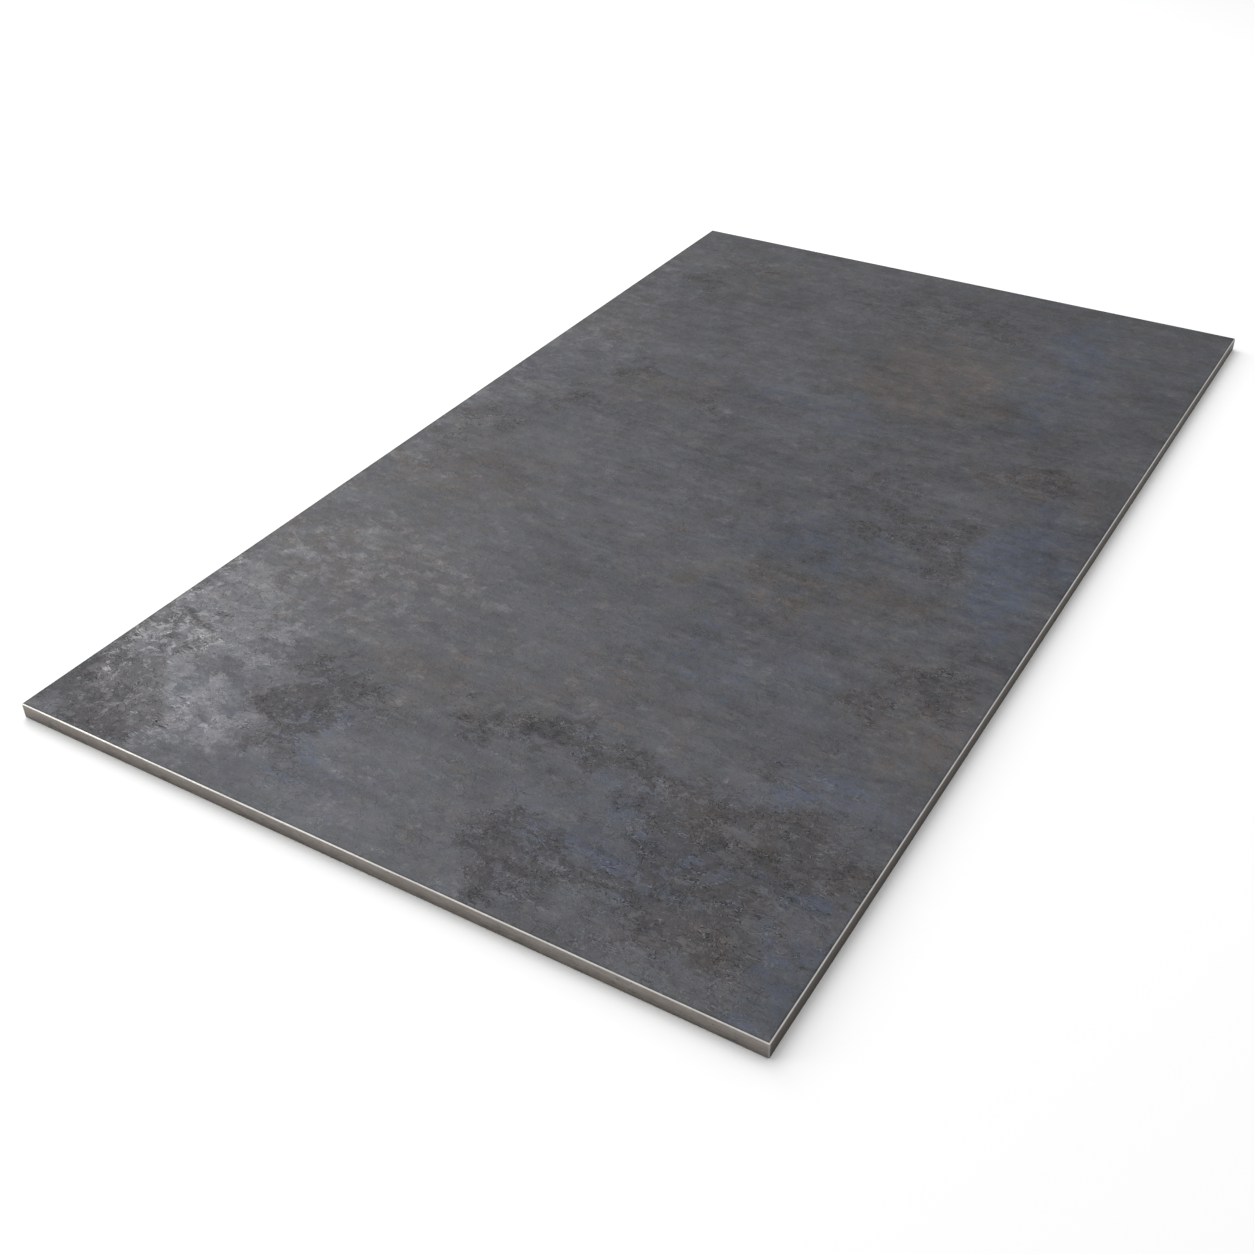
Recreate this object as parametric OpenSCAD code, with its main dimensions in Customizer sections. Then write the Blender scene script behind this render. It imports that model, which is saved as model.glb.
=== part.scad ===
// Hot-rolled steel plate, cut square and lying flat.
// One solid: a rectangular plate with its rolled faces up and down, and every sharp arris ground off.
// Frame: millimetres, origin at the middle of the underside, +Y along the rolling direction, +Z up.

/* [Plate] */
// Width, across the rolling direction
plate_width = 700; // [200:10:3000]
// Length, along the rolling direction
plate_length = 1200; // [300:10:6000]
// Thickness
plate_thickness = 15; // [6:1:60]

/* [Ground edges] */
// Leg of the 45 degree chamfer along the edges of the top and bottom faces
face_chamfer = 1; // [0.2:0.1:2.5]
// Leg of the 45 degree chamfer down the four upright corners
corner_chamfer = 1; // [0.2:0.1:5]

/* [Finish] */
// Colour of the rolled steel
steel_colour = "#5C5D63"; // ["#5C5D63":Mill scale, "#8B8781":Bare steel]

/* [Hidden] */

// A rectangle centred on the origin, with its four corners cut off at 45 degrees.
module chamfered_rectangle(width, height, leg) {
    x = width / 2;
    y = height / 2;
    polygon([
        [leg - x, -y], [x - leg, -y],
        [x, leg - y], [x, y - leg],
        [x - leg, y], [leg - x, y],
        [-x, y - leg], [-x, leg - y],
    ]);
}

// The outline seen from above, which carries the upright corner chamfers.
module plan_block() {
    linear_extrude(plate_thickness)
        chamfered_rectangle(plate_width, plate_length, corner_chamfer);
}

// The cross section seen from an end, run along the whole length: it chamfers the two long edges.
module long_edge_block() {
    rotate([90, 0, 0])
        linear_extrude(plate_length, center = true)
            translate([0, plate_thickness / 2])
                chamfered_rectangle(plate_width, plate_thickness, face_chamfer);
}

// The long section seen from a side, run across the whole width: it chamfers the two cut ends.
module cut_end_block() {
    rotate([90, 0, 90])
        linear_extrude(plate_width, center = true)
            translate([0, plate_thickness / 2])
                chamfered_rectangle(plate_length, plate_thickness, face_chamfer);
}

// The whole plate: the steel that all three blocks have in common.
module plate() {
    color(steel_colour)
        intersection() {
            plan_block();
            long_edge_block();
            cut_end_block();
        }
}

plate();
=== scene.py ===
"""A hot-rolled steel plate: dark mill scale on its rolled faces, ground arrises, and bare steel edges."""

import math
from functools import partial

import bpy
from bpy.props import FloatProperty, FloatVectorProperty, IntProperty, PointerProperty
from mathutils import Matrix, Vector


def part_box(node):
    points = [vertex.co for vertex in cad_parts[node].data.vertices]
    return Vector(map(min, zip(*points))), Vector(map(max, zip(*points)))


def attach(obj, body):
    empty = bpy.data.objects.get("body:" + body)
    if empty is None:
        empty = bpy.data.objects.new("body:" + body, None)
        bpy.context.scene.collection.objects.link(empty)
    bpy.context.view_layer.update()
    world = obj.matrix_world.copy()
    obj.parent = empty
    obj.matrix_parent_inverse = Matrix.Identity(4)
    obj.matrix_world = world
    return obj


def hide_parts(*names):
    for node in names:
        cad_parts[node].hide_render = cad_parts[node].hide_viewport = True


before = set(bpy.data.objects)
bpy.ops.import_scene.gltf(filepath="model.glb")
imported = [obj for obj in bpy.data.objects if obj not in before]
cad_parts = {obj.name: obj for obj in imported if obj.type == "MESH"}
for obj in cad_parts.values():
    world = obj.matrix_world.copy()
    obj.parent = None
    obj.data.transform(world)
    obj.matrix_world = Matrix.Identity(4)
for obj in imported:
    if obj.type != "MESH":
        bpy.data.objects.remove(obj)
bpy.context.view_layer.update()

bl_info = {
    "name": "Hot-Rolled Steel Plate",
    "version": (1, 0, 0),
    "blender": (4, 5, 0),
    "location": "View3D > Sidebar > Steel Plate",
    "description": "Builds a steel plate with mill scale, ground arrises and cut edges, and a studio",
    "category": "Object",
}

NODE = "plate"
BODY = "root"
MM = 0.001
MATH = "ShaderNodeMath"
VECTORS = "ShaderNodeVectorMath"
REMAP = "ShaderNodeMapRange"
SMOOTH = {"interpolation_type": "SMOOTHSTEP"}
PLATE_LOW, PLATE_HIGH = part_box(NODE)
PLATE_SIZE = PLATE_HIGH - PLATE_LOW

# Waves to the metre of the noises that shape the plate
ARRIS_WAVES = 14.0
FACE_WAVES = 9.0
PATCH_WAVES = 13.0
CRUST_WAVES = 60.0
# A patch is gone past the first of these, in half-widths from its middle, and whole within the second
PATCH_RIM = 1.35
PATCH_CORE = 0.35
# The crust is gone where its field is under the first of these, and whole where it is over the second
CRUST_GONE = 0.62
CRUST_WHOLE = 0.8
# Cells of the mesh from one rolled face to the other
CELLS_THROUGH = 6
# Edges of the mesh that turn by more than this are sharp
CREASE_ANGLE = math.radians(20)
# A face looks along an axis when its normal has more than this share along it
FACING_SHARE = 0.9
# Metres that the scale's flat patterns move along X for each metre of height
FACES_APART = 60.0
# The scale's patterns are drawn out across the rolling direction by a third, and its streaks eight times
DRAWN_OUT = (0.75, 1, 1)
STREAKED = (0.12, 1, 1)
# Half the floor's side in metres, far enough to reach the horizon
FLOOR_REACH = 100.0
# Softboxes: name, the setting that holds its power, its place, what it points at, and its side in metres
SOFTBOXES = (
    ("overhead softbox", "overhead", (-1.4, 0.6, 3.7), (0.0, 0.0, 0.0), 3.4),
    ("sheen softbox", "key", (-2.2, 0.9, 1.35), (-0.3, -0.4, 0.0), 1.6),
    ("fill softbox", "fill", (-1.7, -1.7, 0.8), (-0.3, -0.6, 0.0), 1.0),
)

# Where the scale differs from the rest of the face, as ellipses in millimetres from the middle of the plate:
# (across, along, half-width across, half-width along, strength)
CRUST_PATCHES = (
    (-310, -550, 75, 70, 1.0),
    (-338, -470, 30, 45, 0.9),
    (-345, -395, 18, 30, 0.6),
    (-140, -500, 65, 75, 0.65),
    (60, -425, 85, 42, 0.66),
    (170, -410, 95, 38, 0.66),
    (115, -535, 75, 50, 0.65),
    (285, -215, 50, 40, 0.6),
    (200, 15, 62, 55, 0.75),
    (265, 165, 65, 40, 0.6),
    (-255, 85, 38, 32, 0.7),
    (-215, 185, 62, 22, 0.6),
    (-90, 145, 65, 26, 0.6),
    (-285, 440, 28, 32, 0.7),
    (-240, 520, 40, 30, 0.45),
    (-300, -20, 60, 50, 0.45),
    (105, -140, 60, 26, 0.45),
    (-10, -55, 14, 18, 0.6),
    (120, 90, 50, 30, 0.5),
    # The two large patches below also darken the near right and the far middle as painted shade, where the
    # light falls off away from the left
    (245, -480, 120, 140, 0.56),
    (20, 490, 170, 90, 0.4),
)
BROWN_PATCHES = (
    (95, 335, 130, 110, 0.9),
    (265, 165, 80, 50, 0.7),
    (280, -215, 60, 60, 0.5),
    (105, -140, 75, 32, 0.8),
    (-10, -55, 16, 22, 1.0),
    (-270, -95, 110, 90, 0.6),
    (-80, -400, 120, 60, 0.5),
    (-250, -290, 130, 110, 0.5),
    (230, -90, 55, 40, 0.7),
    (-180, 150, 110, 45, 0.6),
    (-230, 500, 90, 60, 0.4),
    (60, -330, 110, 60, 0.4),
    (-300, 300, 60, 60, 0.4),
    (315, -280, 40, 50, 0.7),
    (300, -455, 35, 30, 0.6),
    (270, -540, 60, 40, 0.6),
    (235, -425, 55, 35, 0.6),
)
BLUE_PATCHES = (
    (205, 400, 48, 210, 0.9),
    (170, -490, 95, 55, 0.65),
    (300, 0, 55, 130, 0.8),
    (120, -60, 90, 60, 0.6),
    (0, 200, 120, 40, 0.5),
    (-110, -520, 60, 60, 0.5),
    (285, -490, 70, 30, 0.75),
    (330, -545, 30, 40, 0.7),
    (285, -370, 70, 35, 0.65),
    (-280, 150, 40, 50, 0.5),
    (320, 470, 35, 90, 0.4),
    (150, -250, 120, 40, 0.4),
)
# Painted sheen: a lighter, smoother grey laid near the left corner and along the left edge, where the sheen
# of the light falls; only partly scale pressed smooth
PAINTED_SHEEN_PATCHES = (
    (-300, -440, 75, 100, 1.0),
    (-250, -540, 90, 70, 0.7),
    (-345, -20, 55, 28, 0.7),
    (-250, -300, 140, 90, 0.3),
    (-330, 180, 80, 420, 0.35),
    (-300, 90, 60, 50, 0.3),
)
# Bright chips at the crust's border near the left corner: partly bare steel, partly painted glints on the
# flake edges
FLAKED_AND_GLINT_PATCHES = (
    (-305, -545, 70, 60, 0.85),
    (-320, -470, 50, 75, 0.95),
    (-255, -560, 60, 50, 0.7),
    (-335, -380, 30, 60, 0.7),
    (-240, -470, 60, 60, 0.35),
)
# Where the rolls marked the scale across its whole width: millimetres along the plate from its middle
ROLL_MARKS = (345, 230, 150, 85, 12, -50, -150, -250, -382)


def linear(code):
    """The linear colour of an sRGB hex code such as "#5C5D63"."""
    shares = [int(code[i:i + 2], 16) / 255 for i in (1, 3, 5)]
    return tuple(s / 12.92 if s <= 0.04045 else ((s + 0.055) / 1.055) ** 2.4 for s in shares)


def colour(name, description, code):
    """A colour that a user can change."""
    return FloatVectorProperty(
        name=name, description=description, default=linear(code), subtype="COLOR", min=0.0, max=1.0
    )


def length(name, description, default):
    """A length in metres that a user can change."""
    return FloatProperty(
        name=name, description=description, default=default, min=0.0, unit="LENGTH", precision=5
    )


def number(name, description, default, **limits):
    """A plain number from 0 up that a user can change."""
    return FloatProperty(name=name, description=description, default=default, min=0.0, **limits)


def angle(name, description, degrees):
    """An angle, given in degrees, that a user can change."""
    return FloatProperty(name=name, description=description, default=math.radians(degrees), subtype="ANGLE")


class SteelPlateShape(bpy.types.PropertyGroup):
    """Sizes of the plate. The overall ones come from the CAD model."""

    width: length("Width", "Size across the rolling direction", PLATE_SIZE.x)
    length: length("Length", "Size along the rolling direction", PLATE_SIZE.y)
    thickness: length("Thickness", "Size from face to face", PLATE_SIZE.z)
    chamfer: length("Chamfer", "Leg of the ground 45 degree arris", 1.0 * MM)
    spacing: length("Mesh spacing", "Between the rows of the mesh on the rolled faces", 4.5 * MM)
    waviness: length("Waviness", "Greatest dip of the rolled faces below flat", 0.12 * MM)
    crust: length("Crust thickness", "How much thicker the scale is where it lies as crust", 0.08 * MM)
    grinder: length("Arris wander", "How much the ground arris grows and shrinks along the plate", 0.18 * MM)
    wander: length("Patch wander", "The patches of scale are pushed about by up to a fifth of this", 260 * MM)
    seed: IntProperty(name="Seed", description="Picks another plate from the same pack", default=7, min=0)


class SteelPlateScale(bpy.types.PropertyGroup):
    """Colours and sizes of the mill scale."""

    grey: colour("Scale", "Thin, even scale", "#4B4B50")
    green: colour("Greenish scale", "Scale with a faint green cast", "#454D4D")
    blue: colour("Blued scale", "Scale that cooled slowly", "#464C5B")
    brown: colour("Brown scale", "Scale that has begun to rust", "#504A48")
    crust: colour("Crust", "Thick dull scale", "#3A3738")
    # Laid over the sheen patches: a painted sheen, partly scale pressed smooth
    sheen: colour("Burnished scale", "Scale that the rolls pressed smooth", "#6A6A6F")
    # Partly bare steel and partly painted glints on the flake edges
    flaked: colour("Flake edge", "Bright steel-grey where the crust has flaked at its border", "#949293")
    cloud: length("Cloud size", "Width of the largest clouds", 160 * MM)
    mottle: length("Mottle size", "Width of the middling mottle", 34 * MM)
    flake: length("Flake size", "Width of the flakes that the scale is cracked into", 11 * MM)
    roughness: number("Roughness", "Roughness of even scale", 0.56, max=1.0)


class SteelPlateEdges(bpy.types.PropertyGroup):
    """Colours and sizes of the bare steel."""

    cut: colour("Cut end", "Dull steel of the cut ends", "#958F89")
    stain: colour("Cut end stain", "Thin rust and oil on the cut ends", "#7A746F")
    # The long edges are a darker copy of the cut ends: partly dark mill edge, partly painted shade matching
    # the long side turned from the lights
    mill: colour("Mill edge", "Dark steel of the long edges", "#68625E")
    mill_stain: colour("Mill edge stain", "Oil and thin scale on the long edges", "#544F4C")
    ground: colour("Ground arris", "Fresh steel where the grinder went", "#C6C3BE")
    sanding: length("Sanding lines", "Width of the lines that sanding left, drawn coarse to show", 1.4 * MM)


class SteelPlateStudio(bpy.types.PropertyGroup):
    """Floor, light and camera."""

    floor: colour("Floor", "Colour of the floor", "#F4F4F4")
    surround: number("Surround", "Brightness of the white room", 0.66)
    overhead: number("Overhead light", "Power of the softbox above, in watts", 88)
    key: number("Sheen light", "Power of the softbox on the left, in watts", 17)
    fill: number("Fill light", "Power of the softbox in front, in watts", 9)
    lens: number("Lens", "Focal length in millimetres", 44.52)
    azimuth: angle("Azimuth", "Where the camera stands round the plate", 31.97)
    elevation: angle("Elevation", "How high the camera looks from", 35.72)
    roll: angle("Roll", "Tilt of the camera about its own axis", -1.17)
    distance: length("Distance", "From the camera to what it looks at", 1.396)
    aim: FloatVectorProperty(
        name="Aim", description="Point on the floor that the camera looks at", default=(0.0211, -0.2358, 0.0),
        subtype="TRANSLATION",
    )


def add(tree, kind, inputs=(), **settings):
    """Adds a node with its settings. inputs fills its live sockets, by order or by name: a node or a socket
    is linked, and anything else is set as the value."""
    made = tree.nodes.new(kind)
    for name, value in settings.items():
        setattr(made, name, value)
    for key, value in inputs.items() if isinstance(inputs, dict) else enumerate(inputs):
        live = [s for s in made.inputs if s.enabled]
        socket = live[key] if isinstance(key, int) else next(s for s in live if s.name == key)
        if isinstance(value, bpy.types.Node):
            value = next(s for s in value.outputs if s.enabled)
        if isinstance(value, bpy.types.NodeSocket):
            tree.links.new(value, socket)
        else:
            socket.default_value = value
    return made


def new_tree(name, floats=(), vectors=(), materials=()):
    """An empty Geometry Nodes tree with these inputs and one geometry output, and its group input node."""
    tree = bpy.data.node_groups.new(name, "GeometryNodeTree")
    tree.interface.new_socket("Geometry", in_out="OUTPUT", socket_type="NodeSocketGeometry")
    for kind, names in (("Float", floats), ("Vector", vectors), ("Material", materials)):
        for each in names:
            tree.interface.new_socket(each, in_out="INPUT", socket_type=f"NodeSocket{kind}")
    return tree, add(tree, "NodeGroupInput").outputs


def grown(name, tree, values):
    """A plain mesh object made by a Geometry Nodes tree with these input values, set by socket identifier."""
    seed_mesh = bpy.data.objects.new(name, bpy.data.meshes.new(name))
    bpy.context.scene.collection.objects.link(seed_mesh)
    modifier = seed_mesh.modifiers.new(tree.name, "NODES")
    modifier.node_group = tree
    for item in tree.interface.items_tree:
        if item.in_out == "INPUT":
            modifier[item.identifier] = values[item.name]
    depsgraph = bpy.context.evaluated_depsgraph_get()
    evaluated = seed_mesh.evaluated_get(depsgraph)
    mesh = bpy.data.meshes.new_from_object(
        evaluated, preserve_all_data_layers=True, depsgraph=depsgraph
    )
    seed_mesh.modifiers.clear()
    seed_mesh.data = mesh
    mesh.name = name
    return seed_mesh


def patch_field(tree, position, patches):
    """The strongest of these soft ellipses at each point, from a patch's strength in its middle down to 0."""
    node = partial(add, tree)
    field = 0.0
    for across, along, half_across, half_along, strength in patches:
        centre = (across * MM, along * MM, 0)
        shrink = (1 / (half_across * MM), 1 / (half_along * MM), 0)
        away = node(VECTORS, [position, centre], operation="SUBTRACT")
        away = node(VECTORS, [away, shrink], operation="MULTIPLY")
        away = node(VECTORS, [away], operation="LENGTH").outputs["Value"]
        inside = node(REMAP, [away, PATCH_RIM, PATCH_CORE, 0.0, strength], **SMOOTH)
        field = node(MATH, [inside, field], operation="MAXIMUM")
    return field


def plate_tree():
    """Geometry Nodes for the plate: a fine box whose outer rows draw in to make the ground arrises, whose
    rolled faces dip and swell a little, and whose points say what scale lies on them."""
    tree, given = new_tree(
        "Rolled plate",
        floats=("Chamfer", "Waviness", "Crust thickness", "Arris wander", "Seed"),
        vectors=("Size", "Cells", "Patch wander"),
        materials=("Scale", "Cut end", "Mill edge", "Ground arris"),
    )
    node = partial(add, tree)
    ones = (1, 1, 1)
    halves = (0.5, 0.5, 0.5)
    counts = node("ShaderNodeSeparateXYZ", [node(VECTORS, [given["Cells"], ones])]).outputs
    solid = node("GeometryNodeMeshCube", {
        "Size": ones, "Vertices X": counts["X"], "Vertices Y": counts["Y"], "Vertices Z": counts["Z"],
    })

    # Row numbers counted inwards from each side, so that row 0 is the outermost
    place = node("GeometryNodeInputPosition")
    row = node(VECTORS, [place], operation="ABSOLUTE")
    row = node(VECTORS, [halves, row], operation="SUBTRACT")
    row = node(VECTORS, [row, given["Cells"], halves], operation="MULTIPLY_ADD")
    row = node(VECTORS, [row], operation="FLOOR")
    row_or_one = node(VECTORS, [row, ones], operation="MINIMUM")
    outermost = node(VECTORS, [ones, row_or_one], operation="SUBTRACT")
    sides_met = node(VECTORS, [outermost, ones], operation="DOT_PRODUCT").outputs["Value"]
    more_than_one = 1.5
    on_arris = node(MATH, [sides_met, more_than_one], operation="GREATER_THAN")

    # The arris is a little wider in some places than in others, as a hand-held grinder leaves it
    real_place = node(VECTORS, [place, given["Size"]], operation="MULTIPLY")
    wander = node(
        "ShaderNodeTexNoise", {"Vector": real_place, "W": given["Seed"], "Scale": ARRIS_WAVES, "Detail": 3.0},
        noise_dimensions="4D",
    )
    wander = node(REMAP, {
        "Value": wander, "To Min": node(MATH, [given["Arris wander"], -1.0], operation="MULTIPLY"),
        "To Max": given["Arris wander"],
    })
    leg = node("ShaderNodeCombineXYZ", [node(MATH, [given["Chamfer"], wander])] * 3)

    # Row 1 lies one leg in, and the rest share out what is left; points on an arris come in by half a leg
    half_size = node(VECTORS, [given["Size"], halves], operation="MULTIPLY")
    rows_to_middle = node(VECTORS, [given["Cells"], halves, (-1, -1, -1)], operation="MULTIPLY_ADD")
    step = node(VECTORS, [half_size, leg], operation="SUBTRACT")
    step = node(VECTORS, [step, rows_to_middle], operation="DIVIDE")
    inward = node(VECTORS, [row_or_one, leg], operation="MULTIPLY")
    rows_past_one = node(VECTORS, [row, row_or_one], operation="SUBTRACT")
    inward = node(VECTORS, [rows_past_one, step, inward], operation="MULTIPLY_ADD")
    half_leg = node(VECTORS, [leg, halves], operation="MULTIPLY")
    drawn_in = node("ShaderNodeCombineXYZ", [on_arris] * 3)
    drawn_in = node(VECTORS, [drawn_in, outermost], operation="MULTIPLY")
    inward = node(VECTORS, [drawn_in, half_leg, inward], operation="MULTIPLY_ADD")
    outward = node(VECTORS, [half_size, inward], operation="SUBTRACT")
    side = node(VECTORS, [place], operation="SIGN")
    shaped = node(VECTORS, [side, outward], operation="MULTIPLY")

    # What scale lies where, and where the painted sheen and glints go: the patches are pushed about, so that
    # none keeps the outline of an ellipse
    push = node(
        "ShaderNodeTexNoise",
        {"Vector": shaped, "W": given["Seed"], "Scale": PATCH_WAVES, "Detail": 4.0, "Roughness": 0.65},
        noise_dimensions="4D",
    ).outputs["Color"]
    push = node(VECTORS, [push, halves], operation="SUBTRACT")
    pushed = node(VECTORS, [push, given["Patch wander"], shaped], operation="MULTIPLY_ADD")
    crust = patch_field(tree, pushed, CRUST_PATCHES)
    for name, field in (
        ("crust", crust),
        ("sheen", patch_field(tree, pushed, PAINTED_SHEEN_PATCHES)),
        ("flaked", patch_field(tree, pushed, FLAKED_AND_GLINT_PATCHES)),
        ("brown", patch_field(tree, pushed, BROWN_PATCHES)),
        ("blue", patch_field(tree, pushed, BLUE_PATCHES)),
    ):
        solid = node(
            "GeometryNodeStoreNamedAttribute", {"Geometry": solid, "Name": name, "Value": field},
            data_type="FLOAT", domain="POINT",
        )

    # The rolled faces dip below flat in long shallow waves, and dip less where the crust is thick
    waves = node(
        "ShaderNodeTexNoise", {"Vector": shaped, "W": given["Seed"], "Scale": FACE_WAVES, "Detail": 4.0},
        noise_dimensions="4D",
    )
    torn = node(
        "ShaderNodeTexNoise", {"Vector": shaped, "W": given["Seed"], "Scale": CRUST_WAVES, "Detail": 5.0},
        noise_dimensions="4D",
    )
    torn = node(MATH, [crust, 0.5, torn], operation="MULTIPLY_ADD")
    bare = node(REMAP, [torn, CRUST_WHOLE, CRUST_GONE], **SMOOTH)
    dip = node(MATH, [waves, given["Waviness"]], operation="MULTIPLY")
    dip = node(MATH, [bare, given["Crust thickness"], dip], operation="MULTIPLY_ADD")
    rolled = node("ShaderNodeSeparateXYZ", [outermost]).outputs["Z"]
    rolled = node(MATH, [rolled, on_arris], operation="SUBTRACT")
    rolled = node(MATH, [rolled, 0.0], operation="MAXIMUM")
    downward = node("ShaderNodeSeparateXYZ", [side]).outputs["Z"]
    downward = node(MATH, [downward, -1.0], operation="MULTIPLY")
    dip = node(MATH, [dip, rolled], operation="MULTIPLY")
    dip = node(MATH, [dip, downward], operation="MULTIPLY")
    rise = node("ShaderNodeSeparateXYZ", [half_size]).outputs["Z"]
    rise = node("ShaderNodeCombineXYZ", {"Z": node(MATH, [dip, rise])})
    placed = node(VECTORS, [shaped, rise])
    solid = node("GeometryNodeSetPosition", {"Geometry": solid, "Position": placed})

    # Rolled faces look up or down, the long edges look out along X and the cut ends along Y, and the arrises
    # are what is left
    facing = node(VECTORS, [node("GeometryNodeInputNormal")], operation="ABSOLUTE")
    facing = node("ShaderNodeSeparateXYZ", [facing]).outputs
    solid = node("GeometryNodeSetMaterial", {"Geometry": solid, "Material": given["Ground arris"]})
    for name, axis in (("Scale", "Z"), ("Mill edge", "X"), ("Cut end", "Y")):
        square = node("FunctionNodeCompare", [facing[axis], FACING_SHARE], operation="GREATER_THAN")
        solid = node("GeometryNodeSetMaterial", {
            "Geometry": solid, "Selection": square, "Material": given[name],
        })
    crease = node("GeometryNodeInputMeshEdgeAngle").outputs["Unsigned Angle"]
    is_crease = node("FunctionNodeCompare", [crease, CREASE_ANGLE], operation="GREATER_THAN")
    solid = node(
        "GeometryNodeSetShadeSmooth", {"Geometry": solid, "Selection": is_crease, "Shade Smooth": False},
        domain="EDGE",
    )
    node("NodeGroupOutput", [node("GeometryNodeRealizeInstances", {"Geometry": solid})])
    return tree


def new_material(name, tint):
    """An empty node material with this colour in the viewport, its tree and its shader."""
    material = bpy.data.materials.new(name)
    material.use_nodes = True
    material.diffuse_color = (*tint, 1.0)
    tree = material.node_tree
    tree.nodes.clear()
    shader = add(tree, "ShaderNodeBsdfPrincipled")
    add(tree, "ShaderNodeOutputMaterial", [shader])
    return material, tree, shader


def mottle(tree, place, size, octaves, roughness=0.7, stretch=(1, 1, 1), dimensions="2D"):
    """Cloudy noise either side of 0, with features of this size and of each half of it, down the octaves."""
    where = add(tree, VECTORS, [place, stretch], operation="MULTIPLY")
    noise = add(
        tree, "ShaderNodeTexNoise",
        {"Vector": where, "Scale": 1 / size, "Detail": float(octaves), "Roughness": roughness},
        noise_dimensions=dimensions,
    )
    return add(tree, MATH, [noise, 0.5], operation="SUBTRACT")


def torn_cells(tree, place, size):
    """Inputs for a Voronoi node that give ragged cells of this size."""
    noise = add(
        tree, "ShaderNodeTexNoise", {"Vector": place, "Scale": 1 / size, "Detail": 3.0, "Roughness": 0.6},
        noise_dimensions="2D",
    )
    push = add(tree, VECTORS, [noise.outputs["Color"], (0.5, 0.5, 0.5)], operation="SUBTRACT")
    reach = 2.2 * size
    torn = add(tree, VECTORS, [push, (reach, reach, 0), place], operation="MULTIPLY_ADD")
    return {"Vector": torn, "Scale": 1 / size, "Detail": 1.0}


def flakes(tree, cells):
    """Flakes of scale: a random level from 0 to 1 for each of these cells."""
    level = add(tree, "ShaderNodeTexVoronoi", cells, voronoi_dimensions="2D")
    return add(tree, "ShaderNodeSeparateXYZ", [level.outputs["Color"]])


def open_cracks(tree, place, cells, size, width):
    """A mask of the cracks that stand open between some of these cells."""
    border = add(tree, "ShaderNodeTexVoronoi", cells, voronoi_dimensions="2D", feature="DISTANCE_TO_EDGE")
    crack = add(tree, REMAP, [border, width / size, 0.0], **SMOOTH)
    open_here = add(tree, REMAP, [mottle(tree, place, 2.5 * size, 3, 0.6), -0.03, 0.08], **SMOOTH)
    return add(tree, MATH, [crack, open_here], operation="MULTIPLY")


def strokes(tree, place, size, width, share):
    """Masks of short curling cracks and of a painted highlight along one side of each, standing for its lit
    lip, kept over about this share of their run. Real cracks are hairlines, so these are drawn as wide as
    they need to be to show."""
    level = mottle(tree, place, size, 3, 0.6)
    kept = mottle(tree, place, 1.9 * size, 4, 0.7, (1, 1.7, 1))
    kept = add(tree, REMAP, [kept, 0.1 - 0.2 * share, 0.16 - 0.2 * share], **SMOOTH)
    lines = []
    # The first line is the crack and the second, beside it, a painted highlight on its lip
    for middle in (0.0, 0.5 * width / size):
        away = add(tree, MATH, [level, middle], operation="SUBTRACT")
        away = add(tree, MATH, [away], operation="ABSOLUTE")
        line = add(tree, REMAP, [away, 0.35 * width / size, 0.0], **SMOOTH)
        lines.append(add(tree, MATH, [line, kept], operation="MULTIPLY"))
    return lines


def roll_marks(tree, place, marks, width):
    """A mask of thin broken lines across the plate, at these distances in millimetres along it."""
    bend_length = 260 * MM
    bend_reach = 40 * MM
    gap_length = 50 * MM
    bend = mottle(tree, place, bend_length, 3, 0.5)
    along = add(tree, "ShaderNodeSeparateXYZ", [place]).outputs["Y"]
    along = add(tree, MATH, [bend, bend_reach, along], operation="MULTIPLY_ADD")
    lines = 0.0
    for mark in marks:
        away = add(tree, MATH, [along, mark * MM], operation="SUBTRACT")
        away = add(tree, MATH, [away], operation="ABSOLUTE")
        line = add(tree, REMAP, {"Value": away, "From Min": width, "From Max": 0.0})
        lines = add(tree, MATH, [line, lines], operation="MAXIMUM")
    gaps = mottle(tree, place, gap_length, 5, 0.75, (0.5, 1, 1))
    gaps = add(tree, REMAP, [gaps, -0.02, 0.14], **SMOOTH)
    return add(tree, MATH, [lines, gaps], operation="MULTIPLY")


def rim(tree, place, size, width):
    """A mask that rises from 0 to 1 over the last few millimetres of the face before its arris."""
    near = add(tree, VECTORS, [place], operation="ABSOLUTE")
    near = add(tree, VECTORS, [(size.x / 2, size.y / 2, 0), near], operation="SUBTRACT")
    near = add(tree, "ShaderNodeSeparateXYZ", [near]).outputs
    nearest = add(tree, MATH, [near["X"], near["Y"]], operation="MINIMUM")
    return add(tree, REMAP, [nearest, width, 0.3 * width], **SMOOTH)


def total(tree, start, terms):
    """start plus each of these values times its weight."""
    for value, weight in terms:
        start = add(tree, MATH, [value, weight, start], operation="MULTIPLY_ADD")
    return start


def blend(tree, tone, layers):
    """The tone with each of these colours laid over it in turn, as strongly as its mask and weight say."""
    for mask, weight, over in layers:
        share = add(tree, MATH, [mask, weight], operation="MULTIPLY")
        tone = add(tree, "ShaderNodeMix", [share, tone, (*over, 1)], data_type="RGBA")
    return tone


def finish(tree, shader, tone, rough, height):
    """Links a pattern's colour, roughness and height in metres to its shader."""
    bump = add(tree, "ShaderNodeBump", {"Strength": 1.0, "Distance": 1.0, "Height": height})
    for name, made in (("Base Color", tone), ("Roughness", rough), ("Normal", bump)):
        tree.links.new(next(s for s in made.outputs if s.enabled), shader.inputs[name])


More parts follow.
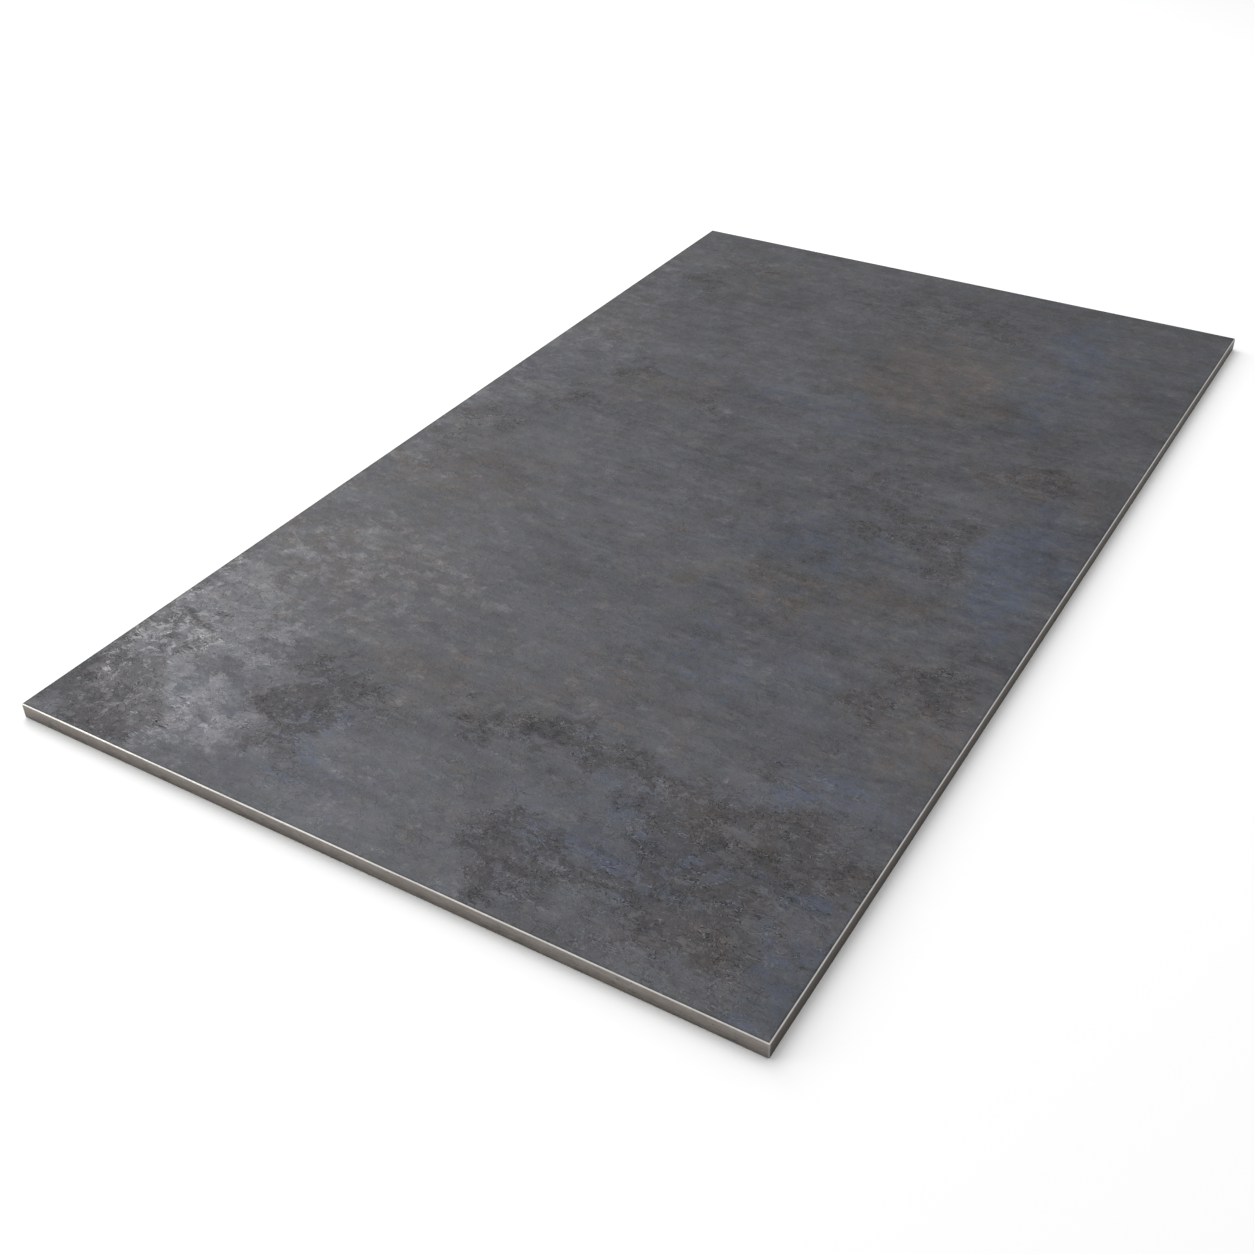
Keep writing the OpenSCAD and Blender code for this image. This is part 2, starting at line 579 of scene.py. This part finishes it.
def rolled_mill_scale(scale, size):
    """Mill scale: the iron oxide skin that hot rolling leaves. It reads as a dull blue-grey satin, clouded
    with brown, green and blue, cracked into torn flakes, with darker crust where it is thick. A lighter
    grey near the left edge is a painted sheen, partly scale pressed smooth, the pale lips beside its cracks
    are painted highlights, and its bright chips are partly painted glints."""
    material, tree, shader = new_material("hot rolled mill scale", scale.grey)
    place = add(tree, "ShaderNodeTexCoord").outputs["Object"]
    # The patterns are flat, and moved far along X from one face to the other, so that the two faces differ
    up = add(tree, "ShaderNodeSeparateXYZ", [place]).outputs["Z"]
    apart = add(tree, MATH, [up, FACES_APART], operation="MULTIPLY")
    apart = add(tree, "ShaderNodeCombineXYZ", {"X": apart})
    flat = add(tree, VECTORS, [place, apart])
    wide = add(tree, VECTORS, [flat, DRAWN_OUT], operation="MULTIPLY")
    clouds = mottle(tree, wide, scale.cloud, 5, 0.7)
    grain = mottle(tree, wide, scale.mottle, 6, 0.95)
    hues = mottle(tree, wide, scale.mottle * 0.8, 5, 0.95)
    flecks = mottle(tree, wide, scale.flake * 1.4, 4, 0.8)
    streaks = mottle(tree, flat, scale.mottle * 0.45, 4, 0.7, STREAKED)
    slabs = flakes(tree, torn_cells(tree, wide, scale.flake * 2.2))
    cells = torn_cells(tree, wide, scale.flake)
    level = flakes(tree, cells)
    cracks = open_cracks(tree, wide, cells, scale.flake, 0.9 * MM)
    chips = flakes(tree, torn_cells(tree, flat, scale.flake * 0.45))
    # Dark cracks, each with a painted highlight on the lip beside it
    dark_strokes, painted_lip_highlights = strokes(tree, wide, 16 * MM, 0.8 * MM, 0.7)
    fine_strokes, fine_painted_lip_highlights = strokes(tree, flat, 9 * MM, 0.6 * MM, 0.7)

    # Where each kind of scale lies, and where the painted sheen and glints go
    sheen = add(tree, "ShaderNodeAttribute", attribute_name="sheen").outputs["Fac"]
    thick = add(tree, "ShaderNodeAttribute", attribute_name="crust").outputs["Fac"]
    flaked = add(tree, "ShaderNodeAttribute", attribute_name="flaked").outputs["Fac"]
    # A lighter, smoother grey follows the sheen patches and the flecks: a painted sheen, partly scale pressed
    # smooth
    burnished_and_painted_sheen = total(tree, -0.15, ((flecks, 2.0), (level, 0.3), (sheen, 1.0)))
    burnished_and_painted_sheen = add(tree, REMAP, [burnished_and_painted_sheen, 0.15, 0.9], **SMOOTH)
    torn = total(tree, -0.4, ((flecks, 3.0), (level, 0.5), (chips, 0.3), (thick, 1.0)))
    crusty = add(tree, REMAP, [thick, 0.05, 0.55], **SMOOTH)
    crust = add(tree, REMAP, [torn, 0.5, 0.72], **SMOOTH)
    crust = add(tree, MATH, [crust, crusty], operation="MULTIPLY")
    # Bare steel shows in chips along the border of the crust, half-way between none and whole; their bright
    # grey is partly painted glints on the flake edges
    border = add(tree, REMAP, {"Value": torn, "From Min": 0.1, "From Max": 0.9, "To Max": 2.0})
    border = add(tree, MATH, [border, 1.0], operation="PINGPONG")
    bare = total(tree, -1.8, ((border, 0.7), (chips, 1.0), (flaked, 0.8)))
    bare = add(tree, REMAP, [bare, 0.0, 0.3], **SMOOTH)
    bare = add(tree, MATH, [bare, flaked], operation="MULTIPLY")

    # Colour: brown where warmth is over 0 and blue where it is under, with a faint green cast in places
    warmth = total(tree, -0.15, (
        (hues, 3.0),
        (level, 0.3),
        (add(tree, "ShaderNodeAttribute", attribute_name="brown").outputs["Fac"], 0.85),
        (add(tree, "ShaderNodeAttribute", attribute_name="blue").outputs["Fac"], -0.9),
    ))
    patina = mottle(tree, wide, scale.mottle * 1.2, 6, 0.9)
    tone = blend(tree, (*scale.grey, 1), (
        (add(tree, REMAP, [patina, -0.1, 0.14], **SMOOTH), 0.3, scale.green),
        (add(tree, REMAP, [warmth, 0.0, 1.2], **SMOOTH), 1.0, scale.brown),
        (add(tree, REMAP, [warmth, 0.0, -1.2], **SMOOTH), 1.0, scale.blue),
        (burnished_and_painted_sheen, 0.28, scale.sheen),
        (crust, 0.66, scale.crust),
        (bare, 0.35, scale.flaked),
    ))

    # Brightness: each pattern has its weight, and flakes and cracks are livelier where the scale isn't plain,
    # the painted sheen among it
    lively = total(tree, 0.42, ((burnished_and_painted_sheen, 0.5), (crusty, 1.0), (flaked, 0.3)))
    relief = total(tree, -0.5, ((level, 0.55), (chips, 0.45)))
    light = total(tree, 0.795, (
        (clouds, 0.8),
        (grain, 2.0),
        (streaks, 0.55),
        (slabs, 0.13),
        (add(tree, MATH, [relief, lively], operation="MULTIPLY"), 0.38),
        (add(tree, MATH, [cracks, lively], operation="MULTIPLY"), -0.26),
        (add(tree, MATH, [dark_strokes, lively], operation="MULTIPLY"), -0.45),
        # The pale lips are painted highlights
        (add(tree, MATH, [painted_lip_highlights, lively], operation="MULTIPLY"), 0.6),
        (add(tree, MATH, [fine_strokes, lively], operation="MULTIPLY"), -0.5),
        (add(tree, MATH, [fine_painted_lip_highlights, lively], operation="MULTIPLY"), 0.4),
        (roll_marks(tree, place, ROLL_MARKS, 2.5 * MM), 0.24),
        (rim(tree, place, size, 3.5 * MM), -0.4),
    ))
    tone = add(tree, VECTORS, {"Vector": tone, "Scale": light}, operation="SCALE")
    rough = total(tree, scale.roughness, ((grain, 1.0), (crust, 0.1), (burnished_and_painted_sheen, -0.12)))
    height = total(tree, 0.0, ((flecks, 0.7 * MM), (level, 0.25 * MM), (cracks, -0.08 * MM)))
    shader.inputs["Metallic"].default_value = 0.5
    finish(tree, shader, tone, rough, height)
    return material


def dull_steel(name, clean, stain, edges, size):
    """Bare mild steel, cut or sheared and then sanded: a satin grey-brown face with faint lengthwise sanding
    lines, stains and pits, and painted shade darkening it toward the floor. Real sanding lines are too fine
    to show, so these are drawn as coarse as they need to be."""
    material, tree, shader = new_material(name, clean)
    place = add(tree, "ShaderNodeTexCoord").outputs["Object"]
    lines = mottle(tree, place, edges.sanding, 4, 0.7, (0.12, 0.12, 1), "3D")
    stains = mottle(tree, place, 14 * MM, 5, 0.7, (1, 1, 1), "3D")
    pits = add(tree, REMAP, [mottle(tree, place, 2.5 * MM, 3, 0.6, (1, 1, 1), "3D"), 0.12, 0.2], **SMOOTH)
    up = add(tree, "ShaderNodeSeparateXYZ", [place]).outputs["Z"]
    # Painted shade: the face grows darker toward the floor
    painted_shade_low = add(tree, REMAP, [up, size.z, -0.2 * size.z], **SMOOTH)
    tone = blend(tree, (*clean, 1), ((add(tree, REMAP, [stains, -0.12, 0.18], **SMOOTH), 1.0, stain),))
    light = total(tree, 1.05, ((painted_shade_low, -0.5), (lines, 1.0), (stains, 1.5), (pits, -0.35)))
    tone = add(tree, VECTORS, {"Vector": tone, "Scale": light}, operation="SCALE")
    rough = total(tree, 0.46, ((lines, 0.3),))
    height = total(tree, 0.0, ((lines, 0.05 * MM), (pits, -0.05 * MM)))
    shader.inputs["Metallic"].default_value = 1.0
    shader.inputs["Specular Tint"].default_value = (0.75, 0.75, 0.75, 1)
    finish(tree, shader, tone, rough, height)
    return material


def ground_steel(edges, size):
    """Freshly ground mild steel: the bright line that a disc leaves along each arris, burred at its borders,
    with scratches, and with painted shade darkening the bottom arris where it meets the floor. Real
    scratches are too fine to show, so these are drawn as coarse as they need to be."""
    material, tree, shader = new_material("ground steel", edges.ground)
    place = add(tree, "ShaderNodeTexCoord").outputs["Object"]
    scratches = mottle(tree, place, 1.2 * MM, 3, 0.6, (1, 1, 1), "3D")
    wear = mottle(tree, place, 30 * MM, 5, 0.7, (1, 1, 1), "3D")
    up = add(tree, "ShaderNodeSeparateXYZ", [place]).outputs["Z"]
    from_middle = add(tree, MATH, [up, size.z / 2], operation="SUBTRACT")
    from_middle = add(tree, MATH, [from_middle], operation="ABSOLUTE")
    inner_burr = add(tree, REMAP, [from_middle, size.z / 2 - 0.55 * MM, size.z / 2 - 1.05 * MM], **SMOOTH)
    outer_burr = add(tree, REMAP, [from_middle, size.z / 2 - 0.3 * MM, size.z / 2], **SMOOTH)
    # Painted shade: the bottom arris grows darker where it meets the floor
    under = add(tree, REMAP, [up, 2 * MM, 0.5 * MM], **SMOOTH)
    light = total(tree, 1.2, ((wear, 0.8), (inner_burr, -0.65), (outer_burr, -0.55), (under, -0.35)))
    tone = add(tree, VECTORS, {"Vector": edges.ground, "Scale": light}, operation="SCALE")
    rough = total(tree, 0.47, ((scratches, 0.5),))
    height = total(tree, 0.0, ((scratches, 0.02 * MM),))
    shader.inputs["Metallic"].default_value = 1.0
    finish(tree, shader, tone, rough, height)
    return material


class STEELPLATE_OT_plate(bpy.types.Operator):
    """Build the plate with its scale, arrises and cut edges"""

    bl_idname = "steelplate.plate"
    bl_label = "Plate"

    def execute(self, context):
        shape = context.scene.steel_plate_shape
        edges = context.scene.steel_plate_edges
        size = Vector((shape.width, shape.length, shape.thickness))
        materials = (
            rolled_mill_scale(context.scene.steel_plate_scale, size),
            dull_steel("dull cut steel", edges.cut, edges.stain, edges, size),
            # The long edges take a darker copy of the cut steel: partly mill edge, partly painted shade
            dull_steel("dark mill edge", edges.mill, edges.mill_stain, edges, size),
            ground_steel(edges, size),
        )
        plate = grown("rolled_plate", plate_tree(), {
            "Chamfer": shape.chamfer,
            "Waviness": shape.waviness,
            "Crust thickness": shape.crust,
            "Arris wander": shape.grinder,
            "Seed": float(shape.seed),
            "Size": size,
            "Patch wander": (shape.wander, shape.wander, 0.0),
            "Cells": (round(size.x / shape.spacing), round(size.y / shape.spacing), CELLS_THROUGH),
            "Scale": materials[0],
            "Cut end": materials[1],
            "Mill edge": materials[2],
            "Ground arris": materials[3],
        })
        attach(plate, BODY)
        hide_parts(NODE)
        return {"FINISHED"}


class STEELPLATE_OT_studio(bpy.types.Operator):
    """Lay the floor, hang the lights and stand the camera"""

    bl_idname = "steelplate.studio"
    bl_label = "Studio"

    def execute(self, context):
        studio = context.scene.steel_plate_studio
        self.lay_floor(context, studio)
        self.light(context, studio)
        self.stand_camera(context, studio)
        context.scene.view_settings.view_transform = "Standard"
        return {"FINISHED"}

    def lay_floor(self, context, studio):
        """A wide pale sheet of seamless paper under the plate."""
        mesh = bpy.data.meshes.new("studio_floor")
        corners = [(x * FLOOR_REACH, y * FLOOR_REACH, 0) for x, y in ((-1, -1), (1, -1), (1, 1), (-1, 1))]
        mesh.from_pydata(corners, [], [(0, 1, 2, 3)])
        material, _, shader = new_material("seamless paper", studio.floor)
        shader.inputs["Base Color"].default_value = (*studio.floor, 1)
        shader.inputs["Roughness"].default_value = 1.0
        shader.inputs["Specular IOR Level"].default_value = 0.0
        mesh.materials.append(material)
        floor = bpy.data.objects.new("studio_floor", mesh)
        context.scene.collection.objects.link(floor)

    def light(self, context, studio):
        """A white room with three softboxes: a large one overhead, one on the left that puts a sheen on the
        near left corner, and a weak one in front."""
        world = bpy.data.worlds.new("white room")
        context.scene.world = world
        world.use_nodes = True
        background = world.node_tree.nodes["Background"]
        background.inputs["Color"].default_value = (1, 1, 1, 1)
        background.inputs["Strength"].default_value = studio.surround
        for name, setting, place, aim, size in SOFTBOXES:
            data = bpy.data.lights.new(name, "AREA")
            data.energy = getattr(studio, setting)
            data.shape = "SQUARE"
            data.size = size
            lamp = bpy.data.objects.new(name, data)
            lamp.location = place
            lamp.rotation_euler = (Vector(aim) - Vector(place)).to_track_quat("-Z", "Y").to_euler()
            context.scene.collection.objects.link(lamp)

    def stand_camera(self, context, studio):
        """A camera on a sphere round its aim, rolled about its own axis."""
        flat = math.cos(studio.elevation)
        back = Vector((
            math.sin(studio.azimuth) * flat, -math.cos(studio.azimuth) * flat, math.sin(studio.elevation)
        ))
        right = (-back).cross(Vector((0, 0, 1))).normalized()
        up = back.cross(right)
        turn = Matrix.Rotation(studio.roll, 3, back)
        axes = Matrix((turn @ right, turn @ up, back)).transposed()
        data = bpy.data.cameras.new("camera")
        data.lens = studio.lens
        camera = bpy.data.objects.new("camera", data)
        camera.matrix_world = Matrix.Translation(Vector(studio.aim) + back * studio.distance) @ axes.to_4x4()
        context.scene.collection.objects.link(camera)
        context.scene.camera = camera


class STEELPLATE_PT_panel(bpy.types.Panel):
    """Sidebar panel with the plate's sizes, colours and operators"""

    bl_idname = "STEELPLATE_PT_panel"
    bl_label = "Steel Plate"
    bl_space_type = "VIEW_3D"
    bl_region_type = "UI"
    bl_category = "Steel Plate"

    def draw(self, context):
        for name in SETTINGS:
            group = getattr(context.scene, name)
            box = self.layout.box()
            for key in group.bl_rna.properties.keys():
                if key not in ("rna_type", "name"):
                    box.prop(group, key)
        for operator in OPERATORS:
            self.layout.operator(operator.bl_idname)


SETTINGS = {
    "steel_plate_shape": SteelPlateShape,
    "steel_plate_scale": SteelPlateScale,
    "steel_plate_edges": SteelPlateEdges,
    "steel_plate_studio": SteelPlateStudio,
}
OPERATORS = (STEELPLATE_OT_plate, STEELPLATE_OT_studio)


def register():
    """Registers the settings, the operators and the panel."""
    for name, group in SETTINGS.items():
        bpy.utils.register_class(group)
        setattr(bpy.types.Scene, name, PointerProperty(type=group))
    for each in (*OPERATORS, STEELPLATE_PT_panel):
        bpy.utils.register_class(each)


def unregister():
    """Takes away what register added, in the reverse order."""
    for each in reversed((*OPERATORS, STEELPLATE_PT_panel)):
        bpy.utils.unregister_class(each)
    for name, group in reversed(SETTINGS.items()):
        delattr(bpy.types.Scene, name)
        bpy.utils.unregister_class(group)


def main():
    """Builds the plate and the studio."""
    register()
    bpy.ops.steelplate.plate()
    bpy.ops.steelplate.studio()


if __name__ == "__main__":
    main()
